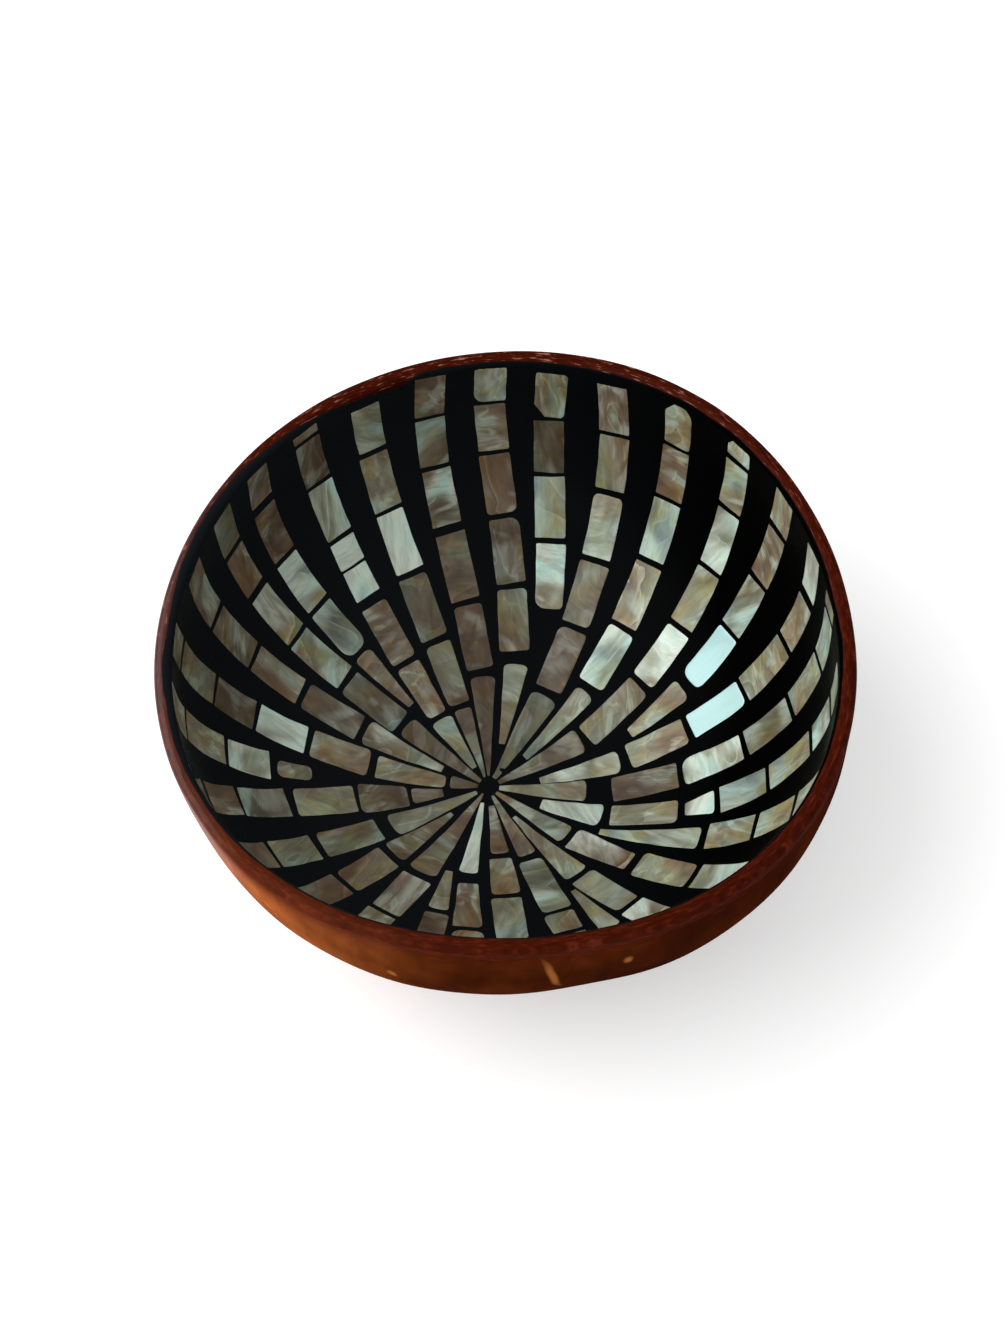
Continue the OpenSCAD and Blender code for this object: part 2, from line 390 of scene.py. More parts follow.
# What nodes do with the values or colours that they take
TIMES = {"operation": "MULTIPLY"}
PLUS = {"operation": "ADD"}
MINUS = {"operation": "SUBTRACT"}
TIMES_PLUS = {"operation": "MULTIPLY_ADD"}
LARGER = {"operation": "MAXIMUM"}
FRACTION = {"operation": "FRACT"}
BLENDED = {"data_type": "RGBA"}
TINTED = {"data_type": "RGBA", "blend_type": "MULTIPLY"}
EASED = {"interpolation_type": "SMOOTHSTEP"}


def new_material(name):
    """A new material, with its node tree and its surface node."""
    material = bpy.data.materials.new(name)
    material.use_nodes = True
    tree = material.node_tree
    return material, tree, tree.nodes["Principled BSDF"]


def add_node(tree, kind, settings=None, output=0, **inputs):
    """Adds a node with its settings and inputs, and gives one of its outputs."""
    node = tree.nodes.new("ShaderNode" + kind)
    for name, value in (settings or {}).items():
        if name == "stops":
            fill_ramp(node.color_ramp.elements, value)
        else:
            setattr(node, name, value)
    give_inputs(node, **inputs)
    return node.outputs[output]


def give_inputs(node, **inputs):
    """Sets or links a node's inputs by their name, with _ for a space, or their number after an n."""
    for name, value in inputs.items():
        key = int(name[1:]) if name[1:].isdigit() else name.replace("_", " ")
        if isinstance(value, bpy.types.NodeSocket):
            node.id_data.links.new(value, node.inputs[key])
        else:
            node.inputs[key].default_value = value


def fill_ramp(elements, stops):
    """Sets a colour ramp to stops of a place and a colour, or of a place and a brightness."""
    while len(elements) < len(stops):
        elements.new(0.5)
    for element, (place, colour) in zip(elements, stops):
        element.position = place
        element.color = srgb(colour) if isinstance(colour, str) else (colour, colour, colour, 1)


# Pale marks in the shell, where the husk's fibres went in: a centre, spans and a lean
SHELL_MARKS = (
    ((5.8 * MM, -67.0 * MM, 50.0 * MM), (1.1 * MM, 8.0 * MM, 10.0 * MM), -0.21),
    ((19.8 * MM, -65.2 * MM, 51.2 * MM), (1.1 * MM, 4.0 * MM, 2.2 * MM), 0.0),
    ((-45.5 * MM, -50.8 * MM, 48.3 * MM), (1.3 * MM, 4.0 * MM, 1.8 * MM), 0.0),
    ((-22.9 * MM, -63.2 * MM, 44.5 * MM), (1.1 * MM, 4.0 * MM, 2.0 * MM), 0.0))

# How far the marks' outlines sway, and over what length
MARK_SWAY = 1.6 * MM
MARK_SWAY_SIZE = 7.143 * MM

# The golden clouds in the shell are about this long
SHELL_CLOUD = 18.18 * MM

# The varnish is glossier from here leftwards, and glossiest from there
GLOSS_STARTS = -45 * MM
GLOSS_FULL = -66 * MM


def mark(tree, place, centre, spans, lean):
    """A soft-edged mark, 1 at its centre and 0 beyond its spans, leaning along x as it rises."""
    off = add_node(tree, "VectorMath", MINUS, n0=place, n1=centre)
    upright = add_node(tree, "VectorMath", {"operation": "DOT_PRODUCT"}, "Value", n0=off, n1=(1, 0, -lean))
    parts = add_node(tree, "SeparateXYZ", Vector=off).node.outputs
    joined = add_node(tree, "CombineXYZ", X=upright, Y=parts["Y"], Z=parts["Z"])
    share = add_node(tree, "VectorMath", {"operation": "DIVIDE"}, n0=joined, n1=spans)
    away = add_node(tree, "VectorMath", {"operation": "LENGTH"}, "Value", n0=share)
    return add_node(tree, "MapRange", EASED, Value=away, From_Min=0.2, From_Max=1.0, To_Min=1.0, To_Max=0.0)


def shell_marks(tree, place):
    """All of the shell's pale marks, with outlines that sway a little."""
    bend = add_node(tree, "TexNoise", None, "Color", Vector=place, Scale=1 / MARK_SWAY_SIZE, Detail=1.0)
    moved = add_node(tree, "VectorMath", TIMES_PLUS, n0=bend, n1=(MARK_SWAY,) * 3, n2=place)
    swayed = add_node(tree, "VectorMath", MINUS, n0=moved, n1=(MARK_SWAY / 2,) * 3)
    marks = 0.0
    for centre, spans, lean in SHELL_MARKS:
        marks = add_node(tree, "Math", LARGER, n0=marks, n1=mark(tree, swayed, centre, spans, lean))
    return marks


def varnished_coconut_shell(finish):
    """Ripe coconut shell, sanded and varnished: dark red-brown, golden in clouds, with painted light that
    makes it lighter and more golden on the front left, where the light falls, and darker on the right,
    redder near the lip, with pale marks of the husk's fibres, fine streaks and flecks round the lip, and a
    faint clear gloss that shows on the left. The fibres, streaks and flecks are drawn coarser than the real
    ones, so that they show."""
    material, tree, surface = new_material("varnished_coconut_shell")
    place = add_node(tree, "TexCoord", None, "Object")
    lip = add_node(tree, "Attribute", {"attribute_name": "lip_share"}, "Fac")
    # Painted light: the shell is lighter and more golden on the front left, where the lamps fall, and
    # darker on the right
    painted_lit = add_node(tree, "Attribute", {"attribute_name": "warm_share"}, "Fac")
    flecked = add_node(tree, "Attribute", {"attribute_name": "fleck_share"}, "Fac")
    down = add_node(tree, "Attribute", {"attribute_name": "grain_place"}, "Vector")
    round_lip = add_node(tree, "Attribute", {"attribute_name": "lip_place"}, "Vector")
    clouds = add_node(tree, "TexNoise", Vector=place, Scale=1 / SHELL_CLOUD, Detail=2.0, Roughness=0.55)
    fibres = add_node(tree, "TexNoise", Vector=down, Scale=1.0, Detail=4.0, Roughness=0.6)
    streaks = add_node(tree, "TexNoise", Vector=round_lip, Scale=1.0, Detail=3.0, Roughness=0.6)

    cloudy = add_node(tree, "MapRange", Value=clouds, From_Min=0.3, From_Max=0.7, To_Min=-0.16, To_Max=0.16)
    drift = add_node(tree, "Math", PLUS, n0=painted_lit, n1=cloudy)
    body = add_node(tree, "ValToRGB", {"stops": (
        (0.0, "#240902"), (0.3, "#3a1403"), (0.55, "#58280b"), (1.0, "#a0562c"))}, Fac=drift)
    fibre = add_node(tree, "ValToRGB", {"stops": ((0.36, 0.86), (0.52, 1.0), (0.72, 1.12))}, Fac=fibres)
    streaked = add_node(tree, "Mix", TINTED, 2, n0=1.0, n6=body, n7=fibre)
    red = add_node(tree, "ValToRGB", {"stops": (
        (0.32, "#2e0902"), (0.5, "#3d0e03"), (0.66, "#53190a"))}, Fac=streaks)
    reddened = add_node(tree, "Math", TIMES, n0=lip, n1=0.9)
    worn = add_node(tree, "Mix", BLENDED, 2, n0=reddened, n6=streaked, n7=red)

    bright = add_node(tree, "MapRange", Value=streaks, From_Min=0.6, From_Max=0.68, To_Max=0.8)
    on_lip = add_node(tree, "Math", TIMES, n0=lip, n1=bright)
    flecks = add_node(tree, "Math", TIMES, n0=flecked, n1=on_lip)
    speckled = add_node(tree, "Mix", BLENDED, 2, n0=flecks, n6=worn, n7=finish.flecks)
    marked = add_node(tree, "Math", TIMES, n0=shell_marks(tree, place), n1=0.55)
    colour = add_node(tree, "Mix", BLENDED, 2, n0=marked, n6=speckled, n7=finish.marks)

    bump = add_node(tree, "Bump", Height=streaks, Strength=0.25, Distance=0.2 * MM)
    across = add_node(tree, "SeparateXYZ", Vector=place)
    glossy = add_node(tree, "MapRange", EASED, Value=across, From_Min=GLOSS_STARTS, From_Max=GLOSS_FULL,
                      To_Max=0.5)
    faint_sheen = add_node(tree, "MapRange", Value=lip, From_Min=0.6, From_Max=1.0, To_Min=0.006, To_Max=0.045)
    varnish = add_node(tree, "Math", LARGER, n0=faint_sheen, n1=glossy)
    give_inputs(surface, Base_Color=colour, Normal=bump, Roughness=0.5, Specular_IOR_Level=0.0,
                Coat_Weight=varnish, Coat_Roughness=0.22)
    return material


# The lacquer's polish drifts over this length, and a painted grey reflection is laid on it from here
# leftwards, fullest at the second place
POLISH_SIZE = 16.67 * MM
SHEEN_STARTS = 45 * MM
SHEEN_FULLEST = -30 * MM


def black_lacquer(finish):
    """Black lacquer, brushed in many coats and polished: a deep black with a soft gloss, and a painted grey
    reflection that grows towards the left."""
    material, tree, surface = new_material("black_lacquer")
    place = add_node(tree, "TexCoord", None, "Object")
    drift = add_node(tree, "TexNoise", Vector=place, Scale=1 / POLISH_SIZE, Detail=3.0, Roughness=0.55)
    across = add_node(tree, "SeparateXYZ", Vector=place)
    # Painted reflection: the black turns grey towards the left
    faint_sheen = add_node(tree, "MapRange", Value=across, From_Min=SHEEN_STARTS, From_Max=SHEEN_FULLEST)
    colour = add_node(tree, "Mix", BLENDED, 2, n0=faint_sheen, n6=finish.lacquer, n7=finish.lacquer_painted_sheen)
    polish = add_node(tree, "MapRange", Value=drift, From_Min=0.3, From_Max=0.7, To_Min=0.22, To_Max=0.34)
    give_inputs(surface, Base_Color=colour, Roughness=polish, Specular_IOR_Level=0.008)
    return material


# A growth layer's usual length and width in the pearl. Its patterns are counted in these.
LAYER_LENGTH = 7 * MM
LAYER_WIDTH = 5 * MM

# Lengths of the pearl's patterns: the flow of light and dark, clouds, folds, patches of painted sheen,
# washes of painted light, and the colours of a thin film
FLOW_SIZE = 8.75 * MM
CLOUD_SIZE = 14 * MM
FOLD_SIZE = 16.667 * MM
PATCH_SIZE = 10 * MM
WASH_SIZE = 11.667 * MM
FILM_SIZE = 7.778 * MM

# Fine threads along the layers, and hairs between them, which are drawn several times coarser
# than the real ones, so that they show
THREAD_LENGTH = 8.75 * MM
THREAD_WIDTH = 2.0833 * MM
HAIR_LENGTH = 3.2407 * MM


def mother_of_pearl(finish):
    """Mother of pearl, cut in strips and polished: growth layers show as soft clouds, fine threads and
    folds with a crisp edge, from brown and olive to milky green, and each piece gleams as it lies, where a
    painted highlight in a pale colour is laid on it."""
    material, tree, surface = new_material("mother_of_pearl")
    layers = add_node(tree, "Attribute", {"attribute_name": "layer_place"}, "Vector")
    cast = add_node(tree, "Attribute", {"attribute_name": "tile_cast"}, "Color")
    fold = cast.node.outputs["Alpha"]
    tone, tint, gleam = list(add_node(tree, "SeparateColor", Color=cast).node.outputs)[:3]
    flow = add_node(tree, "TexNoise", Vector=layers, Scale=LAYER_LENGTH / FLOW_SIZE, Detail=2.0,
                    Distortion=0.8)
    cloud = add_node(tree, "TexNoise", Vector=layers, Scale=LAYER_LENGTH / CLOUD_SIZE, Detail=2.0,
                     Distortion=0.6)
    fine = add_node(tree, "VectorMath", TIMES, n0=layers,
                    n1=(LAYER_LENGTH / THREAD_LENGTH, LAYER_WIDTH / THREAD_WIDTH, 1.0))
    threads = add_node(tree, "TexNoise", Vector=fine, Scale=1.0, Detail=3.0, Roughness=0.6, Distortion=0.5)
    hairs = add_node(tree, "TexNoise", Vector=fine, Scale=THREAD_LENGTH / HAIR_LENGTH, Detail=3.0,
                     Roughness=0.65, Distortion=0.9)
    swirl = add_node(tree, "TexNoise", Vector=layers, Scale=LAYER_LENGTH / FOLD_SIZE, Detail=1.0,
                     Roughness=0.4, Distortion=0.7)
    unrest = add_node(tree, "Math", TIMES, n0=threads, n1=0.3)
    turns = add_node(tree, "Math", TIMES_PLUS, n0=swirl, n1=6.0, n2=unrest)
    steps = add_node(tree, "Math", FRACTION, n0=turns)
    patch = add_node(tree, "TexNoise", {"noise_dimensions": "4D"}, Vector=layers, W=7.0,
                     Scale=LAYER_LENGTH / PATCH_SIZE, Detail=1.0, Distortion=1.0)

    cloudy = add_node(tree, "MapRange", Value=cloud, From_Min=0.3, From_Max=0.7, To_Min=-0.42, To_Max=0.42)
    shifted = add_node(tree, "Math", PLUS, n0=tint, n1=cloudy)
    hue = add_node(tree, "ValToRGB", {"stops": (
        (0.0, "#76624f"), (0.25, "#877863"), (0.48, "#8d8870"), (0.7, "#919681"), (0.88, "#97a495"),
        (1.0, "#93a49c"))}, Fac=shifted)
    layered = pearl_layers(tree, layers, hue, cloud, threads, hairs, patch,
                           pearl_folds(tree, flow, steps, fold))
    body = add_node(tree, "Mix", TINTED, 2, n0=1.0, n6=layered, n7=tone)

    # Painted highlights: washes, crests, patches of sheen and whole gleaming tiles are painted in a pale
    # colour
    flame = pearl_flame(tree, layers, gleam)
    ridge = add_node(tree, "Math", TIMES, n0=fold, n1=gleam)
    crest = add_node(tree, "MapRange", EASED, Value=steps, From_Min=0.7, From_Max=1.0, To_Max=0.7)
    crested = add_node(tree, "Math", TIMES, n0=crest, n1=ridge)
    soft = add_node(tree, "MapRange", EASED, Value=patch, From_Min=0.52, From_Max=0.68, To_Max=0.42)
    sheen = add_node(tree, "Math", TIMES, n0=soft, n1=tone)
    full = add_node(tree, "MapRange", Value=gleam, From_Min=0.9, From_Max=1.0, To_Max=0.85)
    lit = flame
    for light in (crested, sheen, full):
        lit = add_node(tree, "Math", LARGER, n0=lit, n1=light)
    silver = pearl_silver(tree, hue, cloud, threads, hairs, tint, gleam)
    white = add_node(tree, "Mix", BLENDED, 2, n0=full, n6=silver, n7=finish.gleam)
    colour = add_node(tree, "Mix", BLENDED, 2, n0=lit, n6=body, n7=white)
    bump = add_node(tree, "Bump", Height=flow, Strength=0.15, Distance=0.5 * MM)
    give_inputs(surface, Base_Color=colour, Normal=bump, Roughness=0.36, Metallic=0.1,
                Specular_IOR_Level=0.2, Coat_Weight=0.06, Coat_Roughness=0.12)
    return material


def pearl_folds(tree, flow, steps, fold):
    """Light and dark of the clouds, and of folds that fade on one side and end crisply on the other."""
    shade = add_node(tree, "ValToRGB", {"stops": (
        (0.3, 0.55), (0.45, 0.85), (0.58, 1.0), (0.7, 1.2))}, Fac=flow)
    folded = add_node(tree, "ValToRGB", {"stops": (
        (0.0, 0.62), (0.3, 0.8), (0.75, 1.05), (0.93, 1.4), (1.0, 1.8))}, Fac=steps)
    softened = add_node(tree, "Mix", BLENDED, 2, n0=0.3, n6=folded, n7=shade)
    return add_node(tree, "Mix", BLENDED, 2, n0=fold, n6=shade, n7=softened)


def pearl_layers(tree, layers, hue, cloud, threads, hairs, patch, folds):
    """The pearl's colour out of the light: its hue under a thin film, its folds and threads, and a
    few pale lines where layers end."""
    coarse = add_node(tree, "ValToRGB", {"stops": ((0.35, 0.84), (0.5, 1.0), (0.65, 1.14))}, Fac=threads)
    fine = add_node(tree, "ValToRGB", {"stops": ((0.36, 0.93), (0.5, 1.0), (0.64, 1.07))}, Fac=hairs)
    drift = add_node(tree, "TexNoise", {"noise_dimensions": "4D"}, Vector=layers, W=3.0,
                     Scale=LAYER_LENGTH / FILM_SIZE, Detail=2.0, Distortion=0.8)
    film = add_node(tree, "ValToRGB", {"stops": (
        (0.36, "#fff4d2"), (0.5, "#f6f5f0"), (0.64, "#ecedf4"))}, Fac=drift)
    grained = folds
    for pattern in (coarse, fine):
        grained = add_node(tree, "Mix", TINTED, 2, n0=1.0, n6=grained, n7=pattern)
    filmed = add_node(tree, "Mix", TINTED, 2, n0=1.0, n6=hue, n7=film)
    layered = add_node(tree, "Mix", TINTED, 2, n0=1.0, n6=filmed, n7=grained)
    unrest = add_node(tree, "Math", TIMES, n0=threads, n1=0.5)
    turns = add_node(tree, "Math", TIMES_PLUS, n0=cloud, n1=3.0, n2=unrest)
    ends = add_node(tree, "Math", FRACTION, n0=turns)
    line = add_node(tree, "ValToRGB", {"stops": (
        (0.86, 0.0), (0.93, 0.9), (0.96, 0.9), (1.0, 0.0))}, Fac=ends)
    some = add_node(tree, "MapRange", EASED, Value=patch, From_Min=0.45, From_Max=0.6, To_Max=0.42)
    lines = add_node(tree, "Math", TIMES, n0=line, n1=some)
    return add_node(tree, "Mix", BLENDED, 2, n0=lines, n6=layered, n7=srgb("#cfd2b8"))


def pearl_flame(tree, layers, gleam):
    """How far a painted highlight flames over a tile: a small soft patch on a dull one, and nearly all of
    one that gleams."""
    wash = add_node(tree, "TexNoise", Vector=layers, Scale=LAYER_LENGTH / WASH_SIZE, Detail=1.0,
                    Roughness=0.4, Distortion=0.5)
    start = add_node(tree, "MapRange", Value=gleam, To_Min=0.58, To_Max=0.2)
    stop = add_node(tree, "MapRange", Value=gleam, To_Min=0.8, To_Max=0.5)
    spread = add_node(tree, "MapRange", EASED, Value=wash, From_Min=start, From_Max=stop)
    strength = add_node(tree, "MapRange", Value=gleam, From_Max=0.8, To_Min=0.3, To_Max=0.95)
    return add_node(tree, "Math", TIMES, n0=spread, n1=strength)


def pearl_silver(tree, hue, cloud, threads, hairs, tint, gleam):
    """The pearl's colour under a painted highlight: silvery cream to green, veined with its own hue."""
    cool = add_node(tree, "ValToRGB", {"stops": (
        (0.34, "#d8dbcd"), (0.5, "#d5e2d4"), (0.64, "#bee1d6"))}, Fac=cloud)
    half = add_node(tree, "Math", TIMES, n0=tint, n1=0.5)
    silver = add_node(tree, "Mix", BLENDED, 2, n0=half, n6=cool, n7=srgb("#cdeadc"))
    power = add_node(tree, "ValToRGB", {"stops": ((0.0, 0.8), (0.9, 1.15))}, Fac=gleam)
    bright = add_node(tree, "Mix", TINTED, 2, n0=1.0, n6=silver, n7=power)
    dark = add_node(tree, "MapRange", Value=threads, From_Min=0.4, From_Max=0.56, To_Min=0.75, To_Max=0.0)
    fewer = add_node(tree, "MapRange", Value=gleam, From_Min=0.2, From_Max=0.9, To_Min=1.0, To_Max=0.35)
    veins = add_node(tree, "Math", TIMES, n0=dark, n1=fewer)
    veined = add_node(tree, "Mix", BLENDED, 2, n0=veins, n6=bright, n7=hue)
    fine = add_node(tree, "ValToRGB", {"stops": ((0.36, 0.94), (0.5, 1.0), (0.64, 1.05))}, Fac=hairs)
    return add_node(tree, "Mix", TINTED, 2, n0=1.0, n6=veined, n7=fine)


# Pieces

class BOWL_OT_shell(bpy.types.Operator):
    """Spins the shell's section, rounds its lip and makes it uneven."""

    bl_idname = "bowl.shell"
    bl_label = "Coconut shell"

    def execute(self, context):
        settings = context.scene.bowl_shape
        lip_len = lip_path_length(settings)
        outline = wall_outline(0.0, BOWL_H - settings.lip_round)
        for k in range(1, LIP_STEPS + 1):
            along = lip_len * k / LIP_STEPS
            radius, height = lip_path(settings, along)
            outline.append((radius + sink(along - lacquer_start(settings)), height))
        outline += reversed(wall_outline(SHELL_WALL, BOWL_H - HIDDEN_TOP))
        shell = spun("coconut_shell", outline, settings.steps)
        points = soft_dents(read_points(shell.data), settings.dents)
        points[:, 2] = np.maximum(points[:, 2], 0.0)
        way, run, depth = face_place(points)
        write_points(shell.data, hand_shaped(hollowed(points, way, depth)))
        add_grain(shell.data, way, run, points[:, 2], np.hypot(points[:, 0], points[:, 1]))
        settle(shell, "coconut_shell", varnished_coconut_shell(context.scene.bowl_finish), "shell")
        return {"FINISHED"}


# Behind the lacquer the shell falls away by this depth, over this length
SINK_DEPTH = 0.12 * MM
SINK_LENGTH = 3.0 * MM


def sink(past):
    """How far the shell falls away behind the lacquer, at a length past the lacquer's edge."""
    return SINK_DEPTH * min(1.0, max(0.0, past / SINK_LENGTH))


def give_attribute(mesh, name, values):
    """Adds an attribute of one value or one place for each point."""
    kind, field = ("FLOAT", "value") if values.ndim == 1 else ("FLOAT_VECTOR", "vector")
    layer = mesh.attributes.new(name, kind, "POINT")
    layer.data.foreach_set(field, values.astype(np.float32).ravel())


# Bundles of fibres run down the shell, about this wide and long
FIBRE_WIDTH = 2.596 * MM
FIBRE_LENGTH = 9 * MM

# Streaks run round the lip, about this long and wide
STREAK_LENGTH = 2.8125 * MM
STREAK_WIDTH = 0.45 * MM

# The lip's red starts this far below the lip, and is full after this rise
RED_BAND = 9 * MM
RED_RISE = 8 * MM

# Painted light: the shell is painted lighter and more golden round this direction, where the light falls
# most, with this spread, and a little lighter on this side, which faces the lamps, all in degrees
LIT_GOLDEN_WAY = -142
LIT_GOLDEN_SPREAD = 34
LIT_SIDE_WAY = -110

# Where the lip is flecked: the direction and its spread in degrees, and how thickly
FLECKED_WAYS = ((85, 45, 0.95), (175, 30, 0.3))


def add_grain(mesh, way, run, height, radius):
    """Attributes that the shell's finish reads: places that run with the fibres and with the lip's streaks
    and have no seam, how red and flecked it is, and how much painted light makes it lighter and more
    golden."""
    east, north = BOWL_R * np.cos(way), BOWL_R * np.sin(way)
    down = (east / FIBRE_WIDTH, north / FIBRE_WIDTH, run / FIBRE_LENGTH)
    give_attribute(mesh, "grain_place", np.stack(down, axis=-1))
    round_lip = (east / STREAK_LENGTH, north / STREAK_LENGTH, (radius + height) / STREAK_WIDTH)
    give_attribute(mesh, "lip_place", np.stack(round_lip, axis=-1))
    turn = np.degrees(way)
    red = np.clip((height - (BOWL_H - RED_BAND)) / RED_RISE, 0, 1) ** 1.6
    # Painted light: lighter on the side that faces the lamps, most of all round the front left
    lit_side = 0.5 + 0.5 * np.cos(way - math.radians(LIT_SIDE_WAY))
    painted_lit = 0.05 + 0.2 * lit_side + 0.7 * swell(turn, LIT_GOLDEN_WAY, LIT_GOLDEN_SPREAD)
    flecked = 0.03
    for middle, spread, thickly in FLECKED_WAYS:
        flecked = flecked + thickly * np.exp(-((turn - middle) / spread) ** 2)
    give_attribute(mesh, "lip_share", red)
    give_attribute(mesh, "warm_share", painted_lit)
    give_attribute(mesh, "fleck_share", flecked)


# The lacquer over the lip: its rings, how thick a skin it is and how far its edge is tucked in,
# how much of both goes up and inwards, and how near a point lies to its ring
LIP_RINGS = 14
LIP_SKIN = 0.06 * MM
EDGE_TUCK = 0.02 * MM
LEAN_SHARE = 0.7
RING_REACH = 0.004 * MM


class BOWL_OT_lacquer(bpy.types.Operator):
    """Spins the lacquer lining, which feathers out over the lip's inner edge."""

    bl_idname = "bowl.lacquer"
    bl_label = "Lacquer lining"

    def execute(self, context):
        settings = context.scene.bowl_shape
        start, end = lacquer_start(settings), lip_path_length(settings)
        shares = [k / LIP_RINGS for k in range(LIP_RINGS + 1)]
        lip = [lip_path(settings, start + (end - start) * share) for share in shares]
        face = list(reversed(wall_outline(FACE_IN, lip[-1][1])))[1:]
        back = wall_outline(SHELL_WALL + GLUE_GAP, BOWL_H - HIDDEN_TOP)
        lining = spun("lacquer_coat", lip + face + back + [lip[0]], settings.steps)
        points = read_points(lining.data)
        radius = np.hypot(points[:, 0], points[:, 1])
        for share, (r, z) in zip(shares, lip):
            on_ring = (np.abs(radius - r) < RING_REACH) & (np.abs(points[:, 2] - z) < RING_REACH)
            for i in np.nonzero(on_ring)[0]:
                points[i] = brushed(settings, points[i], share)
        write_points(lining.data, hand_shaped(points))
        settle(lining, "black_lacquer", black_lacquer(context.scene.bowl_finish), "lacquer_lining")
        return {"FINISHED"}


def brushed(settings, point, share):
    """A point of the lacquer over the lip, at a share of the way in from its edge, moved to where
    the brush left it."""
    way = math.atan2(point[1], point[0])
    start = lacquer_start(settings) + edge_stray(way, settings)
    radius, height = lip_path(settings, start + (lip_path_length(settings) - start) * share)
    lift = LEAN_SHARE * (LIP_SKIN * (1 - share) if share else -EDGE_TUCK)
    laid = ((radius - lift) * math.cos(way), (radius - lift) * math.sin(way), height + lift)
    return soft_dents(np.array([laid]), settings.dents * (1 - share))[0]


# The brushed edge wanders over this length, and ripples over this one
WANDER_SIZE = 11.25 * MM
RIPPLE_SIZE = 3.2143 * MM

# Where the bare lip is wider or narrower: the direction and spread in degrees, and by how much
EDGE_SWELLS = ((62, 32, 0.65 * MM), (152, 20, -1.2 * MM), (192, 22, -1.0 * MM), (-90, 50, 0.1 * MM))

# The bare patch starts at this direction and widens, and ends at this one, in degrees
BARE_START = 131
BARE_WIDENING = 22
BARE_END = 104
BARE_ENDING = 5


def edge_stray(way, settings):
    """How far the lacquer's edge strays inwards at a place round the lip. At the back left the
    brush stopped short, and a widening band of shell shows."""
    place = Vector((math.cos(way), math.sin(way), 0.0)) * BOWL_R
    wander = noise.noise(place / WANDER_SIZE) + 0.5 * noise.noise(place / RIPPLE_SIZE)
    stray = settings.edge_wander * wander
    degrees = math.degrees(way)
    for middle, spread, length in EDGE_SWELLS:
        stray += length * swell(degrees, middle, spread)
    widening = min(1.0, max(0.0, (BARE_START - degrees) / BARE_WIDENING))
    ending = min(1.0, max(0.0, (degrees - BARE_END) / BARE_ENDING))
    return stray + settings.bare_patch * widening * ending


# Tiles that gleam most with a painted highlight, as a row and a place in it from the rim, with how much
GLEAM_SHARES = {
    (1, 3): 0.35, (2, 3): 0.75, (3, 4): 0.88, (4, 5): 0.4, (5, 3): 0.4, (5, 4): 0.45, (6, 3): 0.6,
    (6, 4): 0.55, (7, 3): 0.65, (7, 4): 0.88, (7, 5): 0.86, (8, 2): 0.35, (8, 3): 0.89, (9, 3): 0.5,
    (11, 3): 0.3, (11, 4): 0.6, (12, 3): 0.35, (13, 3): 0.55, (13, 4): 0.5, (13, 5): 0.65, (14, 1): 0.6,
    (14, 3): 0.8, (14, 5): 0.84, (15, 1): 0.35, (15, 3): 0.55, (15, 4): 1.0, (16, 1): 0.7, (16, 4): 1.0,
    (16, 6): 0.55, (17, 2): 0.35, (17, 5): 0.7, (18, 2): 0.65, (18, 4): 0.4, (18, 5): 0.9,
    (18, 7): 0.55, (19, 1): 0.6, (19, 2): 0.5, (20, 4): 0.6, (20, 6): 0.5, (21, 4): 0.7, (23, 6): 0.55,
    (25, 7): 0.7, (27, 6): 0.3}

# Tiles that are browner than the rest, and those that are duller and greener
BROWN_TILES = {(1, 2), (1, 5), (1, 6), (3, 3), (5, 2), (6, 2), (7, 2), (7, 6), (9, 1), (9, 5), (9, 6),
               (10, 2), (10, 3), (10, 4), (12, 1), (12, 5), (13, 2), (15, 2), (17, 6), (24, 7), (26, 5),
               (27, 7)}
DULL_TILES = {(3, 2), (4, 2), (5, 1), (8, 4), (9, 4), (11, 2), (29, 5), (29, 6)}

# Tiles that are pale and even all over
PALE_TILES = {(1, 4), (2, 2), (3, 6), (8, 2), (10, 1), (11, 3), (12, 3), (13, 4), (15, 1), (15, 5),
              (16, 2), (16, 5), (17, 2), (17, 7), (18, 6), (19, 3), (19, 4), (20, 5), (22, 5), (26, 6)}

# Tiles that show folds with a crisp edge
FOLDED_TILES = {(2, 3), (2, 4), (5, 3), (6, 3), (7, 2), (7, 3), (7, 4), (9, 3), (10, 3), (11, 1),
                (11, 4), (12, 1), (13, 1), (13, 4), (14, 1), (14, 3), (14, 5), (16, 3), (17, 5),
                (18, 2), (18, 5), (20, 6), (21, 4)}

# Tiles whose corners are cut off straight
CUT_TILES = {(11, 1), (13, 1), (14, 1)}

# Rounded and cut corners, as shares of the most that fits: outer far, outer near, inner far and
# inner near, where far is the side further round against the clock
CORNER_SHARES = {
    (10, 1): (0.1, 0.1, 0.7, 0.1), (10, 3): (0.1, 0.1, 0.3, 0.5), (10, 4): (0.2, 0.8, 0.1, 0.1),
    (11, 1): (0.1, 0.2, 0.9, 0.2), (11, 4): (0.1, 0.1, 0.8, 0.4), (12, 3): (0.5, 0.4, 0.1, 0.1),
    (13, 1): (0.8, 0.6, 0.1, 0.1), (14, 1): (0.9, 0.3, 0.1, 0.1), (15, 4): (0.2, 0.2, 0.8, 0.5),
    (16, 4): (0.2, 0.5, 0.2, 0.2), (17, 5): (0.1, 0.1, 0.9, 0.4), (2, 4): (0.9, 0.8, 0.8, 0.9),
    (25, 5): (0.9, 0.9, 0.7, 0.7), (6, 4): (0.2, 0.1, 0.9, 0.9), (12, 5): (0.7, 0.3, 0.1, 0.2)}


